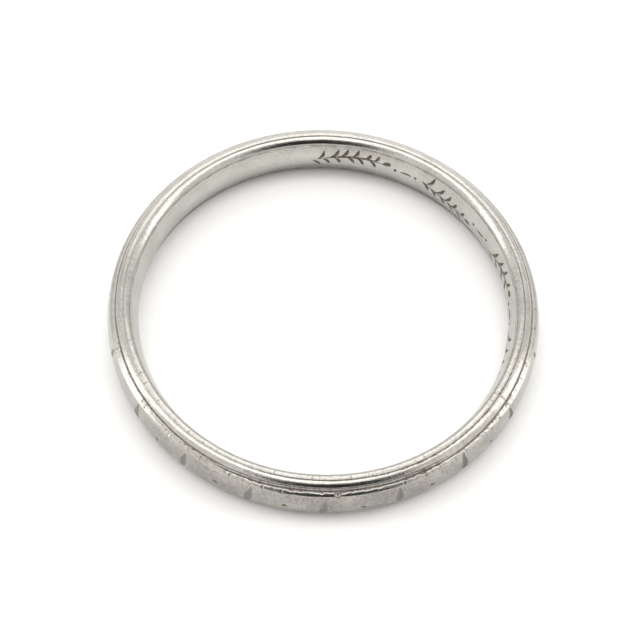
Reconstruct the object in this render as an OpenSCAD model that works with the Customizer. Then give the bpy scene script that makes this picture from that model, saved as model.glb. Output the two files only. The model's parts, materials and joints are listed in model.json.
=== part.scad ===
// Engraved wedding band: one strip of white precious metal, profiled, cut with its
// ornament and bent round until its two ends meet, and the thin solder seam that
// closes it. Nothing on it moves.
// Frame: origin at the centre of the bore at mid-width, +Z along the finger.

/* [Ring size] */
// Inside diameter at the narrowest stretch of the bore, US size 6 1/2
bore_d = 16.9; // [14:0.1:22]
// Wall thickness from the bore to the crown of the outer face
wall = 1.4; // [1.4:0.05:2]
// Width of the band along the finger
band_w = 2.42; // [2.3:0.02:3.4]

/* [Inner side] */
// Straight stretch of the bore at mid-width
land_w = 0.6; // [0.3:0.1:1]
// How far the bore opens out towards each edge, for comfort
comfort_rise = 0.26; // [0.2:0.02:0.3]
// Height of the bevel between the bore and the crest
inner_bevel_h = 0.3; // [0.2:0.02:0.4]
// Depth of that bevel, measured across the wall
inner_bevel_w = 0.3; // [0.25:0.01:0.32]

/* [Rims] */
// Flat crest at each edge, which the ring rests on
crest_w = 0.14; // [0.12:0.01:0.16]
// Width of the fine line cut along the middle of the crest
crest_line_w = 0.05; // [0.03:0.01:0.06]
// Depth of that line
crest_line_deep = 0.03; // [0.02:0.01:0.04]
// Fall of the rim from the crest out to the border groove
rim_fall = 0.175; // [0.14:0.005:0.2]
// Width of the cut border groove
groove_w = 0.12; // [0.06:0.01:0.14]
// Depth of the cut border groove
groove_deep = 0.05; // [0.03:0.01:0.08]
// Depth of the rounded shoulder outside the groove, measured across the wall
shoulder_w = 0.19; // [0.15:0.01:0.22]
// Height of that shoulder
shoulder_h = 0.2; // [0.15:0.01:0.25]
// Rise of the crowned outer face above the shoulders
crown_rise = 0.16; // [0.1:0.01:0.2]

/* [Engraving] */
// Number of petal cuts round the outer face
petal_count = 20; // [12:1:24]
// Depth of a petal cut
petal_deep = 0.13; // [0.08:0.01:0.15]
// Width of a petal cut at its widest
petal_w = 0.34; // [0.2:0.02:0.4]
// Slant of a petal cut away from the finger's direction
petal_slant = 5; // [0:1:10]
// Diameter of the round punch that makes the dots
dot_d = 0.2; // [0.14:0.02:0.24]
// Depth of a punched dot
dot_deep = 0.06; // [0.04:0.01:0.08]

/* [Seam] */
// Width of the soldered gap between the strip's two ends
seam_w = 0.06; // [0.05:0.01:0.1]
// Where the seam lies round the band, from +X
seam_angle = 330.2; // [0:0.1:360]

/* [Hidden] */
$fn = 180;
fine = 96;              // facets on the profile's small arcs
spill = 1;              // how far a cutter runs past the metal
groove_lean = 35;       // the border groove points square to the metal there

bore_r = bore_d / 2;
outer_r = bore_r + wall;
half_w = band_w / 2;
edge_r = bore_r + comfort_rise;             // where the bore meets the inner bevel
edge_z = half_w - inner_bevel_h;
crest_r = edge_r + inner_bevel_w;           // inner side of the flat crest
rim_r = crest_r + crest_w;                  // outer side of the flat crest
crest_mid_r = crest_r + crest_w / 2;
face_r = outer_r - crown_rise;              // where the crown meets the shoulder
border_r = face_r - shoulder_w;             // the border groove's own line
border_z = half_w - rim_fall;
face_z = border_z - shoulder_h;
comfort_run = edge_z - land_w / 2;
comfort_arc_r = arc_radius(comfort_run, comfort_rise);
crown_arc_r = arc_radius(face_z, crown_rise);
petal_step = 360 / petal_count;
first_petal = 3;

// Radius of the arc that is tangent at its start, goes on by run and rises by rise
function arc_radius(run, rise) = (run * run + rise * rise) / (2 * rise);

// Petals were spaced by eye: their pitch drifts a little round the band
function petal_phase(i) = petal_step * i - 274;
function petal_angle(i) = first_petal + petal_step * i
    + 3 * sin(petal_phase(i)) + 0.9 * sin(2 * petal_phase(i));

// Outline of the blank before its curved sides are cut, from inner edge to outer edge
module blank() {
    upper = [
        [bore_r, edge_z], [edge_r, edge_z], [crest_r, half_w], [rim_r, half_w],
        [border_r, border_z], [face_r, face_z], [outer_r + spill, face_z],
    ];
    lower = [for (i = [len(upper) - 1 : -1 : 0]) [upper[i].x, -upper[i].y]];
    polygon(concat(upper, lower));
}

// Circle whose outer side is the crowned face
module crown() {
    translate([outer_r - crown_arc_r, 0]) circle(crown_arc_r, $fn = fine);
}

// What is cut off the bore's upper edge, to leave an arc that runs into the straight land
module comfort_cut() {
    difference() {
        translate([bore_r - spill, land_w / 2]) square([comfort_rise + spill, comfort_run]);
        translate([bore_r + comfort_arc_r, land_w / 2]) circle(comfort_arc_r, $fn = fine);
    }
}

// V cutter with its tip down at the origin, deep and wide as given
module v_notch(deep, width) {
    polygon([[0, -deep], [width, deep], [-width, deep]]);
}

// Cutters for the line on the crest and for the border groove, at the upper edge
module edge_grooves() {
    translate([crest_mid_r, half_w]) v_notch(crest_line_deep, crest_line_w);
    translate([border_r, border_z]) rotate(-groove_lean) v_notch(groove_deep, groove_w);
}

// The wall's whole section, with X as the radius
module section() {
    difference() {
        intersection() {
            blank();
            crown();
        }
        for (side = [0, 1]) mirror([0, side]) {
            comfort_cut();
            edge_grooves();
        }
    }
}

// Straight V cut in the crowned face, which leaves an almond shape
module petal_cut() {
    slope = petal_w / 2 / petal_deep;
    reach = petal_deep + wall / 2;
    translate([outer_r - petal_deep, 0, 0]) rotate([petal_slant, 0, 0])
        linear_extrude(height = band_w, center = true)
            polygon([[0, 0], [reach, -slope * reach], [reach, slope * reach]]);
}

// Round dot punched at mid-width
module dot_cut() {
    translate([outer_r + dot_d / 2 - dot_deep, 0, 0]) sphere(d = dot_d, $fn = 32);
}

// Thin slab where the strip's two ends face each other
module seam_slab() {
    rotate(seam_angle) translate([bore_r - spill, -seam_w / 2, -band_w])
        cube([wall + 2 * spill, seam_w, 2 * band_w]);
}

module engraving() {
    for (i = [0 : petal_count - 1]) {
        rotate(petal_angle(i)) petal_cut();
        rotate((petal_angle(i) + petal_angle(i + 1)) / 2) dot_cut();
    }
}

module band() {
    color([0.75, 0.74, 0.70]) difference() {
        rotate_extrude() section();
        engraving();
        seam_slab();
    }
}

module solder_seam() {
    color([0.62, 0.60, 0.55]) intersection() {
        rotate_extrude() section();
        seam_slab();
    }
}

band();
solder_seam();
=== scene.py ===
"""Looks of the engraved wedding band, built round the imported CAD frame.

The CAD solids give the size. This script replaces each with a dense mesh of nearly the
same section that also carries the cuts and the wear, and gives it its metal.
Lengths are millimetres until a mesh is made. Angles are degrees from +X, seen from above.
"""

import json
import math

import bpy
import numpy as np
from mathutils import Matrix, Vector


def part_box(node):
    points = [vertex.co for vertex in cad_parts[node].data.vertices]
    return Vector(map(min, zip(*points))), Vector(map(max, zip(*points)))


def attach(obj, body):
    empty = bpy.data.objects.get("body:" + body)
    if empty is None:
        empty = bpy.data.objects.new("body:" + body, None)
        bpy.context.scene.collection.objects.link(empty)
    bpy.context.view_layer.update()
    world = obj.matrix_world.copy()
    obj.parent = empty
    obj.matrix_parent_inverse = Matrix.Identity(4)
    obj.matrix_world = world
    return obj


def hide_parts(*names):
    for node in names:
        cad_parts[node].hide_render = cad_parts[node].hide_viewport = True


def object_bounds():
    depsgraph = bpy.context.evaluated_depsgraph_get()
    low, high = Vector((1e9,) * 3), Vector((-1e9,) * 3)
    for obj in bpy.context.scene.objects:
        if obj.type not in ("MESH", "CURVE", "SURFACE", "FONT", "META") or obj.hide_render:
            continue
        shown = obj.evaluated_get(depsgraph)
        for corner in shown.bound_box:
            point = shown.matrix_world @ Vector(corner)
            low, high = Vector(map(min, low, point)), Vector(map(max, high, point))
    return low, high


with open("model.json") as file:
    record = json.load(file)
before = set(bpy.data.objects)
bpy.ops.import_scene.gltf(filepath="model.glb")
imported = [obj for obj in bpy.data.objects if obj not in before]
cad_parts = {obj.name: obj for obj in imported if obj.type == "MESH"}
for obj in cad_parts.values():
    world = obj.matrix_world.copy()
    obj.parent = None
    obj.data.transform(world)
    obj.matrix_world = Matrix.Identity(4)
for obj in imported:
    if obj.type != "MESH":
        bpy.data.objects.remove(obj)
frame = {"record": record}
cad_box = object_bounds()

MM = 0.001

# ---------------------------------------------------------------- sizes from the frame


def mount(name):
    """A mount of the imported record, by name."""
    return next(m for m in frame["record"]["mounts"] if m["name"] == name)


BAND_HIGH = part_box("band")[1]
BORE_R = mount("finger_bore")["dims"]["r_mm"]
OUTER_R = BAND_HIGH.x / MM
HALF_W = BAND_HIGH.z / MM

# Where the section turns, in mm: radius, and height above mid-width
LAND = (BORE_R, 0.1)
LIP = (BORE_R + 0.25, HALF_W - 0.355)
INNER_BEAD = (BORE_R + 0.265, HALF_W - 0.215)
CREST = (BORE_R + 0.63, HALF_W)
RIM_END = (OUTER_R - 0.45, HALF_W - 0.14)
SHOULDER = (OUTER_R - 0.297, HALF_W - 0.288)
FACE = (OUTER_R - 0.125, HALF_W - 0.435)

# Where the two border lines run, as shares of the way from the rim to the shoulder
BORDER_LINES = (0.24, 0.76)
BORDER_DEEP = 0.04

SEAM_ANGLE = 330.2
SEAM_W = 0.06

PETALS = 20
FIRST_PETAL = 3
PETAL_LONG = 1.5
PETAL_WIDE = 0.35
PETAL_DEEP = 0.11
DOT_DEEP = 0.06

# The front is worn smooth, and its face carries painted shade there, standing in for the shaded
# floor it mirrors; the right front is the most pitted
WORN_AND_SHADED_SIDE = 272.0
ROUGH_SIDE = 312
CHATTER_COUNT = 270
NICK_COUNT = 1400
# Angles of the long slips of the graver
LONG_TICKS = (228.0, 247.8, 256.7, 261.8, 293.5, 312.0, 20.0, 96.0, 168.0)
CRATER_ANGLE, CRATER_R, CRATER_DEEP = 276.1, 0.14, 0.055

# The ornament takes the place of the inscription: where it starts and ends
ORNAMENT_FROM, ORNAMENT_TO = 98.0, -29.0
ORNAMENT_HALF = (ORNAMENT_FROM - ORNAMENT_TO) / 2
ORNAMENT_DEEP = 0.045

# Mesh spacing in mm, plain surfaces and finest cuts
ROW_FINE, ROW_PLAIN = 0.011, 0.034
COLUMN_FINE, COLUMN_PLAIN = 0.024, 0.058

rng = np.random.default_rng(7)


def petal_angle(i):
    """The petals were spaced by eye, so their pitch drifts a little."""
    step = 360 / PETALS
    phase = math.radians(step * i - 274)
    return FIRST_PETAL + step * i + 3 * math.sin(phase) + 0.9 * math.sin(2 * phase)


def dot_angle(i):
    return (petal_angle(i) + petal_angle(i + 1)) / 2


# ---------------------------------------------------------------- small numeric helpers


def smooth(low, high, x):
    """0 at low, 1 at high, with a soft start and end. Low may be the greater one."""
    t = np.clip((x - low) / (high - low), 0, 1)
    return t * t * (3 - 2 * t)


def wrap(degrees):
    """Angle difference folded into -180..180."""
    return (degrees + 180) % 360 - 180


def hill(angle, centre, reach, flat=0):
    """1 within flat degrees of an angle of the ring, falling smoothly to 0 at reach degrees."""
    return smooth(reach, flat, np.abs(wrap(angle - centre)))


def worn_and_shaded(angle, reach):
    """1 at the most worn side of the ring, falling to 0 away from it. The face on this side is
    also painted darker as painted shade.
    """
    return hill(angle, WORN_AND_SHADED_SIDE, reach, reach * 0.3)


def bump_at(distance, half):
    """1 at no distance, falling in a straight line to 0 at half."""
    return np.clip(1 - np.abs(distance) / half, 0, 1)


def bezier(p0, p1, p2, p3, n):
    """n points on a cubic curve."""
    t = np.linspace(0, 1, n)[:, None]
    p0, p1, p2, p3 = (np.array(p, float) for p in (p0, p1, p2, p3))
    u = 1 - t
    return u**3 * p0 + 3 * u * u * t * p1 + 3 * u * t * t * p2 + t**3 * p3


def lattice_noise(x, y, cells_x, seed):
    """Smooth noise from -1 to 1 with unit cells, repeating after cells_x cells in x."""
    table = np.random.default_rng(seed).uniform(-1, 1, (cells_x, 64))
    xi, yi = np.floor(x).astype(int), np.floor(y).astype(int)
    fx, fy = x - xi, y - yi
    fx, fy = fx * fx * (3 - 2 * fx), fy * fy * (3 - 2 * fy)

    def at(i, j):
        return table[(xi + i) % cells_x, (yi + j) % 64]

    near = at(0, 0) * (1 - fx) + at(1, 0) * fx
    far = at(0, 1) * (1 - fx) + at(1, 1) * fx
    return near * (1 - fy) + far * fy


# ---------------------------------------------------------------- the wall's section


def curve(start, start_fall, start_pull, end, end_fall, end_pull, n=60):
    """A bead's outline between two points. Falls are in degrees below level, going outwards."""
    a, b = math.radians(start_fall), math.radians(end_fall)
    return bezier(
        start,
        (start[0] + start_pull * math.cos(a), start[1] - start_pull * math.sin(a)),
        (end[0] - end_pull * math.cos(b), end[1] + end_pull * math.sin(b)),
        end,
        n,
    )


def border():
    """The chamfer between the rim and the face, where the border lines are cut."""
    start, end = np.array(RIM_END), np.array(SHOULDER)
    return [start + (end - start) * t for t in (0.25, 0.5, 0.75)]


def upper_section():
    """The section from mid-bore over the crest to mid-face, as (r, z) points."""
    land = [(BORE_R, z) for z in np.linspace(0, LAND[1], 20)]
    comfort = curve(LAND, -84, 0.25, LIP, -67, 0.2)
    inner_bead = curve(INNER_BEAD, -66, 0.1, CREST, 0, 0.21)
    rim = curve(CREST, 0, 0.17, RIM_END, 48, 0.11)
    shoulder = curve(SHOULDER, 29, 0.09, FACE, 71.5, 0.085, 40)
    rise = OUTER_R - FACE[0]
    crown_r = (FACE[1] ** 2 + rise**2) / (2 * rise)
    crown = [
        (OUTER_R - crown_r + crown_r * math.cos(a), crown_r * math.sin(a))
        for a in np.linspace(math.asin(FACE[1] / crown_r), 0, 80)
    ]
    return np.concatenate(
        [land, comfort[1:], inner_bead, rim[1:], border(), shoulder, crown[1:]]
    )


def row_spacing(r, z):
    """Rows are close together at the cut lines, and wide apart on the plain surfaces."""
    chamfer = np.add(RIM_END, SHOULDER) / 2
    near = np.minimum.reduce(
        [
            np.hypot(r - chamfer[0], z - chamfer[1]) - 0.08,
            np.hypot(r - CREST[0], z - CREST[1]),
            np.hypot(r - LIP[0], z - LIP[1]),
        ]
    )
    return ROW_FINE + (ROW_PLAIN - ROW_FINE) * smooth(0.05, 0.2, near)


def path_length(points):
    """The length along a line of points, at each of them."""
    return np.concatenate([[0], np.cumsum(np.hypot(*np.diff(points, axis=0).T))])


def even_out(position, spacing):
    """Positions along a line so that each step has the spacing asked for there."""
    density = 1 / spacing
    steps = (density[1:] + density[:-1]) / 2 * np.diff(position)
    count = np.concatenate([[0], np.cumsum(steps)])
    n = int(math.ceil(count[-1]))
    return np.interp(np.linspace(0, count[-1], n + 1), count, position)


class Section:
    """The closed section of the wall, as rows.

    q is the length from mid-bore along either half, and s the length all round.
    """

    def __init__(self):
        points = upper_section()
        length = path_length(points)
        fine = np.linspace(0, length[-1], 8000)
        r, z = (np.interp(fine, length, points[:, k]) for k in (0, 1))
        at = even_out(fine, row_spacing(r, z))
        upper = np.stack([np.interp(at, fine, r), np.interp(at, fine, z)], 1)
        loop = np.concatenate([upper, upper[::-1][1:-1] * [1, -1]])
        along = np.roll(loop, -1, 0) - np.roll(loop, 1, 0)
        normal = np.stack([-along[:, 1], along[:, 0]], 1)
        normal /= np.hypot(*normal.T)[:, None]
        self.r, self.z = loop.T[:, :, None]
        self.nr, self.nz = normal.T[:, :, None]
        self.q = np.concatenate([at, at[::-1][1:-1]])[:, None]
        self.s = path_length(loop)[:, None]
        self.side = np.sign(self.z)
        marks = {"lip": LIP, "crest": CREST, "rim_end": RIM_END, "shoulder": SHOULDER}
        self.at = {name: self.nearest(point) for name, point in marks.items()}

    def nearest(self, point):
        """q of the row nearest to a point of the section."""
        gap = np.hypot(self.r - point[0], self.z - point[1])
        return self.q[gap.argmin(), 0]

    def border_line(self, which):
        """q of one of the two lines cut in the border."""
        a, b = self.at["rim_end"], self.at["shoulder"]
        return a + (b - a) * BORDER_LINES[which]


# ---------------------------------------------------------------- columns round the ring


def column_angles():
    """Angles of the columns, from one side of the solder seam round to the other."""
    gap = math.degrees(SEAM_W / 2 / OUTER_R)
    a = np.linspace(SEAM_ANGLE + gap, SEAM_ANGLE + 360 - gap, 40000)
    coarser = COLUMN_PLAIN - COLUMN_FINE
    spacing = np.full_like(a, COLUMN_PLAIN)
    for i in range(PETALS):
        for centre, reach in ((petal_angle(i), 0.22), (dot_angle(i), 0.1)):
            off = np.abs(wrap(a - centre)) * math.radians(OUTER_R)
            near_cut = COLUMN_FINE + coarser * smooth(reach, reach + 0.2, off)
            spacing = np.minimum(spacing, near_cut)
    off = np.abs(wrap(a - (ORNAMENT_FROM + ORNAMENT_TO) / 2)) - ORNAMENT_HALF
    spacing = np.minimum(spacing, 0.026 + 0.032 * smooth(0, 4, off))
    spacing = np.minimum(spacing, COLUMN_PLAIN - 0.026 * worn_and_shaded(a, 70))
    return even_out(a, np.degrees(spacing / OUTER_R))


# ---------------------------------------------------------------- ornament in the bore


def swelled(x0, y0, x1, y1, bend, width, n=11):
    """One push of the graver: a bowed stroke, thin at its ends and thick past its middle."""
    t = np.linspace(0, 1, n)
    long = math.hypot(x1 - x0, y1 - y0)
    ax, ay = -(y1 - y0) / long, (x1 - x0) / long
    bow = bend * long * np.sin(math.pi * t)
    half = width * (0.22 + 0.78 * np.sin(math.pi * t**1.4) ** 0.9)
    return x0 + (x1 - x0) * t + ax * bow, y0 + (y1 - y0) * t + ay * bow, half


def branch(x, long, tall, flip):
    """A bowed stem with leaves leaning forward on both sides and a bud at its end."""
    strokes = [swelled(x, -0.16 * flip, x + long, 0.2 * flip, 0.04 * flip, 0.05, 31)]
    sx, sy, _ = strokes[0]
    leaves = 2 * round(long / 0.62)
    for k in range(leaves):
        at = 1 + k * 28 // leaves
        up = 1 if k % 2 else -1
        size = tall * (0.6 - 0.2 * (k / leaves) ** 2) * (1 + 0.14 * math.sin(2.7 * k + x))
        lean = 0.86 + 0.1 * math.sin(1.9 * k + x)
        tip = (sx[at] + size * math.cos(lean), sy[at] + up * size * math.sin(lean))
        strokes.append(swelled(sx[at], sy[at], *tip, -0.16 * up, 0.088))
    bud = (sx[-1] - 0.05, sy[-1], sx[-1] + 0.34, sy[-1] + 0.06 * flip)
    strokes.append(swelled(*bud, 0, 0.11))
    return strokes


def speck(x, y, half):
    """A dot, as a list of one very short stroke."""
    return [(np.array([x - 0.02, x + 0.02]), np.array([y, y]), np.array([half, half]))]


def vine_strokes():
    """Branches with dashes and dots between them, x running round the bore from the start."""
    total = math.radians(ORNAMENT_FROM - ORNAMENT_TO) * BORE_R
    strokes, x, k = [], 0.1, 0
    while x < total - 1.5:
        flip = 1 if k % 2 == 0 else -1
        long = 3.0 + 0.7 * math.sin(2.4 * k + 1)
        strokes += branch(x, long, 1.0, flip)
        x += long + 0.6
        strokes += speck(x, 0.05, 0.07)
        strokes.append(swelled(x + 0.16, 0.02, x + 0.9, 0.08, 0.07 * flip, 0.055))
        strokes += speck(x + 1.06, 0.1, 0.06)
        x += 1.35
        k += 1
    return strokes


def stroke_depth(x, y, strokes):
    """How far inside a stroke each point is, in mm from the stroke's edge, 0 outside."""
    deep = np.zeros_like(x)
    for px, py, half in strokes:
        reach = half.max() + 0.02
        near = (np.abs(x - (px.min() + px.max()) / 2) < np.ptp(px) / 2 + reach) & (
            np.abs(y - (py.min() + py.max()) / 2) < np.ptp(py) / 2 + reach
        )
        qx, qy, best = x[near], y[near], np.zeros(near.sum())
        for i in range(len(px) - 1):
            vx, vy = px[i + 1] - px[i], py[i + 1] - py[i]
            along = (qx - px[i]) * vx + (qy - py[i]) * vy
            t = np.clip(along / (vx * vx + vy * vy), 0, 1)
            gap = np.hypot(qx - px[i] - t * vx, qy - py[i] - t * vy)
            best = np.maximum(best, half[i] + t * (half[i + 1] - half[i]) - gap)
        deep[near] = np.maximum(deep[near], best)
    return deep


# ---------------------------------------------------------------- cuts and wear


class Surface:
    """What is cut into the band: depth in mm, dirt from 0 to 1 (with the painted shade of the
    front face in the same layer), and dullness from 0 to 1.
    """

    def __init__(self, section, angles):
        self.section = section
        self.angle = angles[None, :] + 0 * section.s
        self.z = section.z + 0 * self.angle
        self.q = section.q + 0 * self.angle
        self.deep = np.zeros_like(self.angle)
        self.dirt_and_shade = np.zeros_like(self.angle)
        self.dull = np.zeros_like(self.angle)

    def patch(self, centre, reach, keep):
        """The columns within reach of an angle, and the rows where keep is true."""
        cols = np.flatnonzero(np.abs(wrap(self.angle[0] - centre)) < reach)
        return np.ix_(np.flatnonzero(keep[:, 0]), cols)

    def around(self, where, centre):
        """Distance round the face from an angle, in mm."""
        return np.radians(wrap(self.angle[where] - centre)) * OUTER_R

    def cut(self, where, deep, dirt_and_shade, dull=0.0):
        """Cut in at least so deep, and make it at least so dark and dull. The darkening is dirt,
        and on the front face painted shade.
        """
        self.deep[where] = np.maximum(self.deep[where], deep)
        self.dirt_and_shade[where] = np.maximum(self.dirt_and_shade[where], dirt_and_shade)
        self.dull[where] = np.maximum(self.dull[where], dull)


def on_face(section):
    """The rows of the outer face."""
    return section.q > section.at["shoulder"]


def cut_petals(surface):
    """Slanted V cuts, each with one steep and one shallow side."""
    for i in range(PETALS):
        centre = petal_angle(i)
        wear = worn_and_shaded(centre + 12.0, 55)
        size = 1 + 0.07 * math.sin(2.3 * i + 0.6) - 0.13 * wear - 0.06 * hill(centre, 318, 24)
        grime = 0.46 + 0.2 * hill(centre, 316, 40)
        slant = math.radians(-8 + 2 * math.sin(1.7 * i) + 17 * smooth(278, 318, centre))
        where = surface.patch(centre, 3, on_face(surface.section))
        x = surface.around(where, centre)
        z = surface.z[where] - 0.16 + 0.23 * hill(centre, 270, 30)
        u = x * math.cos(slant) + z * math.sin(slant)
        v = (z * math.cos(slant) - x * math.sin(slant)) / (PETAL_LONG / 2 * size)
        rough = 0.012 * lattice_noise(surface.angle[where] / 0.5, z / 0.1 + 20, 720, 31 + i)
        v = np.where(v > -0.3, (v + 0.3) / 1.3, (v + 0.3) / 0.7)
        half = PETAL_WIDE / 2 * np.clip(1 - np.abs(v) ** 1.9, 0, 1)
        ridge = 0.3 * half
        shallow = (half + u) * (half - ridge) / (half + ridge + 1e-9)
        inside = np.where(u > ridge, half - u, shallow)
        edge = half - np.abs(u) + rough
        deep = np.clip(inside, 0, None) * PETAL_DEEP * 2 / PETAL_WIDE
        outline = bump_at(edge - 0.012, 0.03) * smooth(0.02, 0.06, half) * smooth(-0.06, 0.06, u)
        fill = smooth(-0.005, 0.015, edge) * smooth(0.0, 0.03, half)
        surface.cut(where, deep, np.maximum(0.85 * outline, grime * fill), fill)


def cut_dots(surface):
    """A punched dot between each pair of petals, a little off the middle."""
    for i in range(PETALS):
        centre = dot_angle(i) + 0.5 * math.sin(3.1 * i)
        radius = 0.126 + 0.02 * math.sin(2.9 * i)
        where = surface.patch(centre, 2, on_face(surface.section))
        x = surface.around(where, centre)
        z = surface.z[where] + 0.08 + 0.08 * math.sin(4.7 * i)
        hollow = np.clip(1 - (x * x + 1.3 * z * z) / radius**2, 0, 1)
        surface.cut(where, DOT_DEEP * hollow, smooth(0.0, 0.4, hollow))


def line_noise(surface):
    """What makes a hand-cut line wander and fray: slow drift, fine and coarse raggedness."""
    side = surface.section.side + 2
    drift = 0.008 * lattice_noise(surface.angle / 4, side, 90, 3)
    fine = lattice_noise(surface.angle / 0.45, side + 7, 800, 4)
    coarse = lattice_noise(surface.angle / 1.6, side + 11, 225, 5)
    return drift, fine, coarse


def cut_lines(surface):
    """The scribed crest line and the lip of the bore."""
    section, angle, q = surface.section, surface.angle, surface.q
    drift, fine, coarse = line_noise(surface)
    wander = 0.035 * np.cos(np.radians(angle - 300)) + 0.03 * hill(angle, 301, 18)
    wander -= 0.03 * hill(angle, 331, 20) + 0.02 * hill(angle, 240, 20)
    rough_side = hill(angle, ROUGH_SIDE, 42, 20)
    off = q - section.at["crest"] - drift - wander
    ragged = (0.008 + 0.012 * rough_side) * (coarse + fine)
    line = bump_at(off, 0.037 + 0.016 * rough_side + ragged)
    dark = 0.68 - 0.46 * hill(angle, 208, 65, 20) + 0.22 * rough_side
    surface.cut(..., 0.03 * line, smooth(0, 0.7, line) * (dark + 0.15 * fine))

    off = q - section.at["lip"] - 0.06
    line = bump_at(off, 0.085 + 0.015 * coarse)
    surface.cut(..., 0.004 * line, smooth(0, 0.6, line) * (0.5 + 0.12 * coarse))


def cut_border(surface):
    """Two fine lines on the worn front, which run together into one ragged line elsewhere."""
    section, angle, q = surface.section, surface.angle, surface.q
    drift, fine, coarse = line_noise(surface)
    front = hill(angle, WORN_AND_SHADED_SIDE + 3, 38, 22)
    first, second = section.border_line(0), section.border_line(1)
    for at, share in ((first, 0.4), (second, 1.0)):
        jag = 0.04 * share * np.abs(fine) * (1 + coarse)
        line = front * bump_at(q - at - drift - jag / 2, 0.04 + 0.016 * share + jag)
        dark = 0.7 + 0.3 * share + 0.15 * fine
        surface.cut(..., BORDER_DEEP * line, dark * smooth(0.05, 0.5, line))

    wear = worn_and_shaded(angle, 110)
    at = first + (second - first) * hill(angle, 304, 50)
    jag = (0.006 + 0.034 * wear) * np.abs(fine) * (1 + coarse)
    line = bump_at(q - at - drift - jag / 2, 0.056 + 0.004 * wear + jag) * (1 - front)
    surface.cut(..., BORDER_DEEP * line, smooth(0.02, 0.5, line) * (0.85 + 0.15 * fine))


def cut_chatter(surface):
    """Short slips of the graver and knocks running down from the border on to the face."""
    section = surface.section
    for _ in range(CHATTER_COUNT):
        centre = rng.normal(WORN_AND_SHADED_SIDE + 16, 46)
        side = 1 if rng.random() < 0.7 else -1
        long, wide = rng.uniform(0.03, 0.18), rng.uniform(0.014, 0.034)
        start = section.at["shoulder" if rng.random() < 0.65 else "crest"]
        from_border = rng.uniform(-0.1, 0.05 + 0.3 * hill(centre, 310, 24))
        strength = rng.uniform(0.35, 0.95)
        keep = (section.q > start - 0.2) & (section.q < start + 0.5) & (section.side == side)
        where = surface.patch(centre, 0.8, keep)
        x = surface.around(where, centre)
        y = surface.q[where] - start - from_border
        tick = np.clip(1 - (x / wide) ** 2 - (y / long) ** 2, 0, 1)
        surface.cut(where, 0.004 * strength * tick, strength * smooth(0, 0.5, tick))


def cut_long_ticks(surface):
    """Long single slips of the graver, from the border down the face."""
    section = surface.section
    start = section.at["shoulder"]
    for k, centre in enumerate(LONG_TICKS):
        keep = (section.q > start - 0.05) & (section.z > 0)
        where = surface.patch(centre, 1.5, keep)
        y = surface.q[where] - start
        x = surface.around(where, centre) + 0.12 * math.sin(2.2 * k) * y
        long = 0.4 + 0.1 * math.sin(1.3 * k)
        tick = bump_at(x, 0.028) * smooth(long, long * 0.5, y)
        surface.cut(where, 0.02 * tick, 0.55 * smooth(0, 0.5, tick))


def cut_crater(surface):
    """One round knock on the worn side's border, with a raised rim."""
    section = surface.section
    keep = (section.z > 0) & (section.q > section.at["crest"])
    where = surface.patch(CRATER_ANGLE, 2, keep)
    x = surface.around(where, CRATER_ANGLE)
    y = surface.q[where] - section.at["shoulder"] - 0.1
    d = np.hypot(x, y) / CRATER_R
    bowl = np.clip(1 - d * d, 0, 1) * CRATER_DEEP
    lift = 0.012 * bump_at(d - 1.15, 0.3)
    surface.deep[where] = np.where(d < 1.3, bowl - lift, surface.deep[where])
    inside = smooth(1.05, 0.9, d)
    rim = 0.95 * bump_at(d - 1.0, 0.34)
    surface.dirt_and_shade[where] = np.maximum(surface.dirt_and_shade[where] * (1 - inside) + 0.2 * inside, rim)
    surface.dull[where] = np.maximum(surface.dull[where], 0.4 * inside)


def cut_seam_notch(surface):
    """Two short crossing nicks in the border beside the solder seam."""
    section = surface.section
    for off, y0, long, lean in ((-0.5, -0.06, 0.16, 0.9), (-0.6, -0.03, 0.15, -0.8)):
        where = surface.patch(SEAM_ANGLE + off, 4, section.q > section.at["crest"])
        x = surface.around(where, SEAM_ANGLE + off)
        y = surface.q[where] - section.at["shoulder"] - y0
        u = x * math.cos(lean) + y * math.sin(lean)
        v = y * math.cos(lean) - x * math.sin(lean)
        cut = bump_at(v, 0.035) * smooth(long, long * 0.6, np.abs(u))
        surface.cut(where, 0.04 * cut, 0.8 * smooth(0, 0.5, cut))


def grey_face_with_front_shade(surface):
    """The face is greyed a little all round in clouds, and painted darker towards the front as
    painted shade, standing in for the shaded floor it mirrors.
    """
    on_it = smooth(0.1, 0.26, surface.q - surface.section.at["shoulder"])
    cloud = 0.5 * lattice_noise(surface.angle / 4.5, surface.q / 0.5 + 60, 80, 51)
    cloud = cloud + 0.6 * lattice_noise(surface.angle / 0.4, surface.q / 0.07 + 90, 900, 52)
    # painted shade: the part of this grey that grows towards the front side stands in for the
    # shaded floor that the face mirrors
    grey_and_shade = on_it * (0.08 + 0.33 * worn_and_shaded(surface.angle, 85)) * (1 + 0.6 * cloud)
    surface.cut(..., 0, np.clip(grey_and_shade, 0, 1))


def cut_nicks(surface):
    """Small dents and pits all over the outside, and a few in the bore."""
    section = surface.section
    for _ in range(NICK_COUNT):
        if rng.random() < 0.4:
            centre = rng.uniform(0, 360)
        else:
            centre = rng.normal(WORN_AND_SHADED_SIDE + 18, 40)
        q0 = rng.uniform(section.at["lip"] - 0.3, section.q.max())
        side = 1 if rng.random() < 0.6 else -1
        long, wide = rng.uniform(0.015, 0.1), rng.uniform(0.01, 0.022)
        turn = rng.normal(0.3, 0.9)
        depth = rng.uniform(0.003, 0.011)
        strength = 62 + 75 * hill(centre, ROUGH_SIDE, 36)
        keep = (np.abs(section.q - q0) < 0.15) & (section.side == side)
        where = surface.patch(centre, 0.8, keep)
        x, y = surface.around(where, centre), surface.q[where] - q0
        u = x * math.cos(turn) + y * math.sin(turn)
        v = y * math.cos(turn) - x * math.sin(turn)
        dent = np.clip(1 - (u / long) ** 2 - (v / wide) ** 2, 0, 1)
        surface.cut(where, 0.6 * depth * dent, smooth(0, 0.6, dent) * depth * strength)


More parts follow.
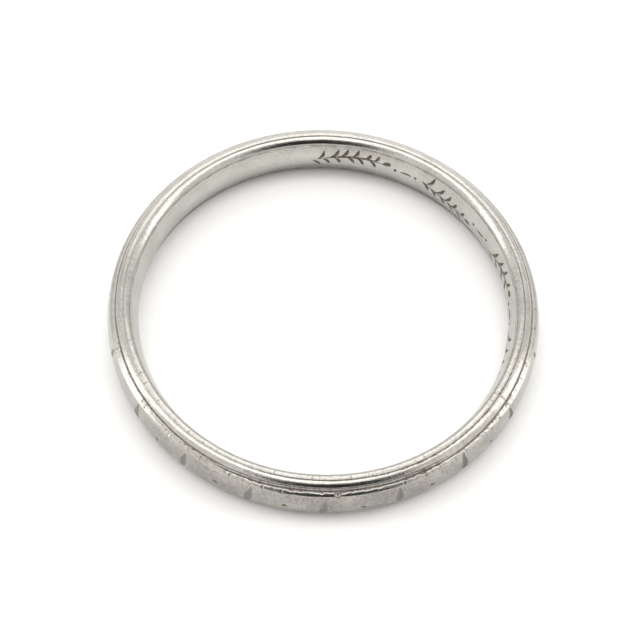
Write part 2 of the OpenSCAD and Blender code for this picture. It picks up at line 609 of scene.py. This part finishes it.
def cut_ornament(surface):
    """The branches engraved in the upper half of the bore."""
    section = surface.section
    keep = section.q < section.at["lip"]
    where = surface.patch(ORNAMENT_FROM - ORNAMENT_HALF, ORNAMENT_HALF + 2, keep)
    angle, z = surface.angle[where], surface.z[where]
    x = np.radians(wrap(ORNAMENT_FROM - angle)) * BORE_R
    ragged = 0.006 * lattice_noise(angle / 0.4, z / 0.07 + 30, 900, 41)
    inside = stroke_depth(x, z - 0.2, vine_strokes())
    inside = np.clip(inside + ragged * (inside > 0), 0, None)
    surface.cut(where, np.minimum(inside, ORNAMENT_DEEP), smooth(0.0, 0.022, inside))


def waviness(surface):
    """Hand finishing and years of wear leave the surfaces a little uneven."""
    angle, s = surface.angle, surface.section.s + 0 * surface.angle
    outside = smooth(0, 0.2, surface.q - surface.section.at["lip"])
    slow = lattice_noise(angle / 6, s / 0.9, 60, 11)
    mid = lattice_noise(angle / 1.8, s / 0.35, 200, 12)
    quick = lattice_noise(angle / 1.2, s / 0.07, 300, 13)
    pitted = lattice_noise(angle / 0.5, s / 0.08, 720, 14)
    fine = 0.0007 * quick + 0.0007 * pitted
    rough = outside * (0.7 + 1.1 * hill(angle, ROUGH_SIDE, 42))
    return 0.002 * slow + (0.0004 + 0.0016 * rough) * mid + (0.1 + rough) * fine


# ---------------------------------------------------------------- meshes


def grid_mesh(name, points, layers):
    """A closed tube of quads, capped at both ends, from rows x columns points in mm."""
    rows, cols = points.shape[:2]
    gi, gj = np.meshgrid(np.arange(rows), np.arange(cols - 1), indexing="ij")
    here, below = gi * cols + gj, (gi + 1) % rows * cols + gj
    quads = np.stack([here, below, below + 1, here + 1], -1)
    first, last = np.arange(rows) * cols, np.arange(rows) * cols + cols - 1
    corners = np.concatenate([quads.ravel(), first[::-1], last]).astype(np.int32)
    count = quads.size // 4
    starts = np.concatenate([np.arange(count) * 4, [count * 4, count * 4 + rows]])

    mesh = bpy.data.meshes.new(name)
    mesh.vertices.add(rows * cols)
    mesh.vertices.foreach_set("co", (points * MM).astype(np.float32).ravel())
    mesh.loops.add(len(corners))
    mesh.loops.foreach_set("vertex_index", corners)
    mesh.polygons.add(len(starts))
    mesh.polygons.foreach_set("loop_start", starts.astype(np.int32))
    mesh.polygons.foreach_set("use_smooth", np.arange(len(starts)) < count)
    for layer, values in layers.items():
        if values.ndim == 3:
            attribute = mesh.attributes.new(layer, "FLOAT_VECTOR", "POINT")
            attribute.data.foreach_set("vector", values.astype(np.float32).ravel())
        else:
            attribute = mesh.attributes.new(layer, "FLOAT", "POINT")
            attribute.data.foreach_set("value", values.astype(np.float32).ravel())
    mesh.update(calc_edges=True)
    mesh.validate()
    piece = bpy.data.objects.new(name, mesh)
    bpy.context.scene.collection.objects.link(piece)
    return piece


def revolve(section, angles, deep):
    """The section turned round the axis, pushed inwards by deep."""
    a = np.radians(angles)[None, :]
    r = section.r - deep * section.nr
    z = section.z - deep * section.nz
    return np.stack([r * np.cos(a), r * np.sin(a), z], -1)


def make_piece(name, section, angles, surface, deep):
    """The mesh of one piece, with what its material reads: the cuts, the wear, the painted shade
    of the front face and a flat map.
    """
    x = np.radians(surface.angle) * OUTER_R
    y = section.s + 0 * x
    layers = {
        "dirt_and_shade": np.clip(surface.dirt_and_shade, 0, 1),
        "dull": np.clip(surface.dull, 0, 1),
        "outside": smooth(-0.05, 0.1, surface.q - section.at["lip"]),
        "surf": np.stack([x, y, 0 * x], -1),
    }
    return grid_mesh(name, revolve(section, angles, deep), layers)


def make_band(section):
    angles = column_angles()
    surface = Surface(section, angles)
    cut_petals(surface)
    cut_dots(surface)
    grey_face_with_front_shade(surface)
    cut_lines(surface)
    cut_border(surface)
    cut_chatter(surface)
    cut_long_ticks(surface)
    cut_nicks(surface)
    cut_ornament(surface)
    cut_seam_notch(surface)
    cut_crater(surface)
    deep = surface.deep + waviness(surface) + 0.004
    return make_piece("ring_band", section, angles, surface, deep)


def make_seam(section):
    half = math.degrees(SEAM_W / 2 / OUTER_R)
    angles = SEAM_ANGLE + np.linspace(-half, half, 5)
    surface = Surface(section, angles)
    cut_petals(surface)
    cut_lines(surface)
    cut_border(surface)
    surface.dirt_and_shade = np.maximum(surface.dirt_and_shade, 0.08)
    return make_piece("seam_solder", section, angles, surface, surface.deep + 0.008)


# ---------------------------------------------------------------- materials


class Nodes:
    """Short spellings for building a node tree."""

    def __init__(self, tree):
        self.tree = tree
        self.tree.nodes.clear()

    def add(self, kind, **values):
        node = self.tree.nodes.new(kind)
        for key, value in values.items():
            setattr(node, key, value)
        return node

    def link(self, source, target):
        self.tree.links.new(source, target)

    def feed(self, sockets, values):
        """Set each socket to a number or a colour, or link it to another node's output."""
        for socket, value in zip(sockets, values):
            if isinstance(value, tuple):
                socket.default_value = (*value, 1)
            elif isinstance(value, (int, float)):
                socket.default_value = value
            else:
                self.link(value, socket)

    def output(self, kind, socket, source):
        """End the tree in an output node."""
        self.link(source, self.add(kind).inputs[socket])

    def attribute(self, name, output="Fac"):
        return self.add("ShaderNodeAttribute", attribute_name=name).outputs[output]

    def math(self, operation, a, b, clamp=False):
        node = self.add("ShaderNodeMath", operation=operation, use_clamp=clamp)
        self.feed(node.inputs, (a, b))
        return node.outputs[0]

    def ranged(self, value, low, high, to_low=0.0, to_high=1.0):
        """A soft step: to_low where value is low, to_high where it is high."""
        node = self.add("ShaderNodeMapRange", interpolation_type="SMOOTHSTEP")
        names = ("Value", "From Min", "From Max", "To Min", "To Max")
        self.feed([node.inputs[name] for name in names], (value, low, high, to_low, to_high))
        return node.outputs["Result"]

    def noise(self, vector, scale, detail=2.0, rough=0.5):
        node = self.add("ShaderNodeTexNoise")
        names = ("Vector", "Scale", "Detail", "Roughness")
        self.feed([node.inputs[name] for name in names], (vector, scale, detail, rough))
        return node.outputs["Fac"]

    def stretched(self, vector, turn, along, across):
        """The surface map turned by an angle and stretched, both ways, in mm."""
        node = self.add("ShaderNodeMapping", vector_type="TEXTURE")
        node.inputs["Rotation"].default_value = (0, 0, math.radians(turn))
        node.inputs["Scale"].default_value = (along, across, 1)
        self.link(vector, node.inputs["Vector"])
        return node.outputs["Vector"]

    def mix_number(self, factor, a, b):
        node = self.add("ShaderNodeMix", data_type="FLOAT")
        self.link(factor, node.inputs["Factor"])
        numbers = [s for s in node.inputs if s.type == "VALUE" and s.name != "Factor"]
        self.feed(numbers, (a, b))
        return node.outputs["Result"]

    def mix_colour(self, factor, a, b):
        node = self.add("ShaderNodeMix", data_type="RGBA")
        self.link(factor, node.inputs["Factor"])
        self.feed([s for s in node.inputs if s.type == "RGBA"], (a, b))
        return next(s for s in node.outputs if s.type == "RGBA")


# Linear colours of the clean metal, of its duller patches, and of the tarnish in the cuts, which
# is also the colour of the painted shade on the front face
BAND_BRIGHT, BAND_DULL, BAND_ROUGH = (0.52, 0.508, 0.478), (0.47, 0.457, 0.426), 0.09
SOLDER_BRIGHT, SOLDER_DULL, SOLDER_ROUGH = (0.49, 0.475, 0.44), (0.44, 0.425, 0.39), 0.18
TARNISH_AND_SHADE = (0.085, 0.066, 0.05)
GRAIN_HIGH = 0.005 * MM

SCRATCH_SETS = (
    # turn in degrees, length and width in mm, threshold
    (3, 1.3, 0.022, 0.60),
    (-14, 0.8, 0.018, 0.62),
    (35, 0.5, 0.016, 0.64),
    (94, 0.45, 0.016, 0.62),
    (-55, 0.5, 0.016, 0.65),
)


def scratch_mask(n, surf):
    """Fine scratches in five directions: the same noise, stretched into thin lines."""
    found = None
    for turn, long, wide, level in SCRATCH_SETS:
        field = n.noise(n.stretched(surf, turn, long, wide), 1.0, 0.0)
        lines = n.ranged(field, level, level + 0.06)
        found = lines if found is None else n.math("MAXIMUM", found, lines)
    return found


def worn_metal(name, bright, dull, dirt_and_shade, rough):
    """Old white metal: grain, fine scratches both ways, slow colour drift, dirt in the cuts, and
    painted shade on the front face.
    """
    material = bpy.data.materials.new(name)
    material.use_nodes = True
    n = Nodes(material.node_tree)
    surf = n.attribute("surf", "Vector")
    outside = n.attribute("outside")
    matt = n.attribute("dull")
    scratches = scratch_mask(n, surf)
    drift = n.noise(surf, 0.8, 3.0)
    grain = n.noise(surf, 7.0, 4.0, 0.65)
    pits = n.ranged(n.noise(surf, 9.0, 2.0), 0.64, 0.76)

    uneven = n.ranged(n.noise(surf, 6.0, 2.0), 0.2, 0.6, 0.75, 1.0)
    # the darkness layer read here holds the dirt in the cuts and the painted shade of the front
    # face
    patchy = n.math("MULTIPLY", n.attribute("dirt_and_shade"), uneven)
    pitted = n.math("MULTIPLY", n.math("MULTIPLY", pits, outside), 0.4)
    patchy = n.math("MAXIMUM", patchy, pitted)
    mottle = n.ranged(n.noise(surf, 5.0, 5.0, 0.75), 0.35, 0.7)
    mottle = n.math("MULTIPLY", mottle, n.ranged(outside, 0.0, 1.0, 0.13, 0.2))
    patchy = n.math("MAXIMUM", patchy, mottle)
    colour = n.mix_colour(n.ranged(drift, 0.35, 0.65), bright, dull)
    colour = n.mix_colour(n.math("MULTIPLY", matt, 0.5), colour, tuple(0.62 * c for c in dull))
    colour = n.mix_colour(n.math("MULTIPLY", patchy, 1.0, True), colour, dirt_and_shade)

    roughness = n.math("ADD", n.math("MULTIPLY", grain, 0.08), rough - 0.04)
    roughness = n.math("ADD", roughness, n.math("MULTIPLY", scratches, 0.08))
    roughness = n.math("ADD", roughness, n.math("MULTIPLY", matt, 0.22))
    roughness = n.math("ADD", roughness, n.math("MULTIPLY", patchy, 0.35), True)

    strength = n.ranged(outside, 0.0, 1.0, 0.35, 1.0)
    height = n.math("MULTIPLY", n.math("ADD", grain, n.math("MULTIPLY", matt, grain)), strength)
    height = n.math("SUBTRACT", height, n.math("MULTIPLY", scratches, 0.12))
    bump = n.add("ShaderNodeBump")
    bump.inputs["Strength"].default_value = 1.0
    bump.inputs["Distance"].default_value = GRAIN_HIGH
    n.link(height, bump.inputs["Height"])

    shader = n.add("ShaderNodeBsdfPrincipled")
    n.link(colour, shader.inputs["Base Color"])
    n.link(roughness, shader.inputs["Roughness"])
    n.link(n.ranged(patchy, 0.3, 1.0, 1.0, 0.2), shader.inputs["Metallic"])
    n.link(bump.outputs["Normal"], shader.inputs["Normal"])
    n.output("ShaderNodeOutputMaterial", "Surface", shader.outputs["BSDF"])
    return material


def plain_white(name, shade):
    """Matt white paper for the floor."""
    material = bpy.data.materials.new(name)
    material.use_nodes = True
    n = Nodes(material.node_tree)
    shader = n.add("ShaderNodeBsdfDiffuse")
    shader.inputs["Color"].default_value = (shade, shade, shade, 1)
    n.output("ShaderNodeOutputMaterial", "Surface", shader.outputs["BSDF"])
    return material


# ---------------------------------------------------------------- pieces

section = Section()

band = make_band(section)
band.data.materials.append(
    worn_metal("white_metal", BAND_BRIGHT, BAND_DULL, TARNISH_AND_SHADE, BAND_ROUGH)
)
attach(band, "root")
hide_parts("band")

seam = make_seam(section)
seam.data.materials.append(
    worn_metal("solder", SOLDER_BRIGHT, SOLDER_DULL, TARNISH_AND_SHADE, SOLDER_ROUGH)
)
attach(seam, "root")
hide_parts("solder_seam")

# ---------------------------------------------------------------- floor and light

FLOOR_REACH, PAPER_SHADE = 1.0, 0.95

CAMERA_ELEVATION = 59.1
# Azimuth 0 is the side the camera stands on. Windows in the tent, in degrees
DARK = {"azimuth": 9.0, "elevation": 31.0, "wide": 27.0, "tall": 35.0}
BACK = {"azimuth": 182.0, "elevation": 36.0, "wide": 30.0, "tall": 17.0}
# The strip light over the ring, and the round light at its top
STRIP_TURN, STRIP_LEAN = -3.0, 6.5
STRIP_HALF, STRIP_SOFT = 0.165, 0.06
TOP_ELEVATION, TOP_REACH, TOP_SOFT = 87.0, 13.0, 4.0
# How bright each part of the tent is
STRIP_LIGHT = 2.8
BACK_LIGHT = 2.2
BEHIND_LIGHT = 1.25
FRONT_LIGHT = 1.22
WALL_LIGHT = 1.0
DARK_LIGHT = 0.04
TENT_COLOUR = (1.0, 0.99, 0.97)


def make_floor():
    """A wide plain sheet, level with the band's underside."""
    mesh = bpy.data.meshes.new("floor")
    square = ((-1, -1), (1, -1), (1, 1), (-1, 1))
    corners = [(x * FLOOR_REACH, y * FLOOR_REACH, cad_box[0].z) for x, y in square]
    mesh.from_pydata(corners, [], [(0, 1, 2, 3)])
    floor = bpy.data.objects.new("floor", mesh)
    bpy.context.scene.collection.objects.link(floor)
    floor.data.materials.append(plain_white("paper", PAPER_SHADE))


def direction(azimuth, elevation):
    """Unit vector towards a point of the studio. Azimuth 0 is in front, at -Y, and 90 at +X."""
    a, e = math.radians(azimuth), math.radians(elevation)
    return Vector((math.sin(a) * math.cos(e), -math.cos(a) * math.cos(e), math.sin(e)))


def make_studio():
    """A white tent, a strip light across the top, a lit back wall and the dark camera opening."""
    world = bpy.data.worlds.new("studio")
    bpy.context.scene.world = world
    world.use_nodes = True
    n = Nodes(world.node_tree)
    view = n.add("ShaderNodeTexCoord").outputs["Generated"]

    def dot(vector):
        node = n.add("ShaderNodeVectorMath", operation="DOT_PRODUCT")
        n.link(view, node.inputs[0])
        node.inputs[1].default_value = vector
        return node.outputs["Value"]

    def share(vector, half_angle):
        """How far off a window's middle, one way, with 1 near its edge."""
        ratio = n.math("DIVIDE", dot(vector), math.sin(math.radians(half_angle)))
        return n.math("POWER", n.math("ABSOLUTE", ratio, 0), 2.6)

    def window(azimuth, elevation, wide, tall):
        """1 inside a rounded opening in the tent, 0 outside it."""
        middle = direction(azimuth, elevation)
        right = direction(azimuth + 90, 0)
        oval = n.math("ADD", share(right, wide), share(right.cross(middle), tall))
        this_side = n.ranged(dot(middle), 0, 0.1)
        return n.math("MULTIPLY", n.ranged(oval, 0.75, 1.25, 1, 0), this_side)

    pole = direction(180 - STRIP_TURN, -STRIP_LEAN)
    across = n.math("ABSOLUTE", dot(pole), 0)
    strip = n.ranged(across, STRIP_HALF - STRIP_SOFT, STRIP_HALF + STRIP_SOFT, 1, 0)
    low = math.cos(math.radians(TOP_REACH + TOP_SOFT))
    high = math.cos(math.radians(TOP_REACH - TOP_SOFT))
    top = n.ranged(dot(direction(0, TOP_ELEVATION)), low, high)
    strip = n.math("MAXIMUM", strip, top)
    level = n.ranged(dot(direction(180, 0)), 0.75, 0.95, WALL_LIGHT, BEHIND_LIGHT)
    front = n.ranged(dot(direction(0, 0)), 0.05, 0.55, WALL_LIGHT, FRONT_LIGHT)
    level = n.math("MAXIMUM", level, front)
    level = n.mix_number(window(**BACK), level, BACK_LIGHT)
    level = n.mix_number(strip, level, STRIP_LIGHT)
    level = n.mix_number(window(**DARK), level, DARK_LIGHT)

    background = n.add("ShaderNodeBackground")
    background.inputs["Color"].default_value = (*TENT_COLOUR, 1)
    n.link(level, background.inputs["Strength"])
    n.output("ShaderNodeOutputWorld", "Surface", background.outputs["Background"])


make_floor()
make_studio()

# ---------------------------------------------------------------- camera

CAMERA_AWAY = 82.4 * MM
CAMERA_ROLL = -3.04
CAMERA_SHIFT = (-0.0057, -0.0133)
SENSOR = 36
# How wide the picture is at the ring: 640 pixels, with 21.85 of them to the millimetre
FIELD_AT_RING = 640 / 21.85 * MM


def make_camera():
    """The photo's viewpoint: high in front of the ring, rolled a little."""
    data = bpy.data.cameras.new("camera")
    camera = bpy.data.objects.new("camera", data)
    bpy.context.scene.collection.objects.link(camera)
    back = direction(0, CAMERA_ELEVATION)
    level = Vector((1, 0, 0))
    up = back.cross(level)
    roll = math.radians(CAMERA_ROLL)
    right = level * math.cos(roll) - up * math.sin(roll)
    top = level * math.sin(roll) + up * math.cos(roll)
    place = Matrix((right, top, back)).transposed().to_4x4()
    place.translation = back * CAMERA_AWAY
    camera.matrix_world = place
    data.sensor_width = SENSOR
    data.lens = SENSOR * CAMERA_AWAY / FIELD_AT_RING
    data.shift_x, data.shift_y = CAMERA_SHIFT
    data.clip_start = 0.001
    data.clip_end = 10
    bpy.context.scene.camera = camera


make_camera()
scene = bpy.context.scene
scene.view_settings.view_transform = "Standard"
scene.view_settings.look = "None"
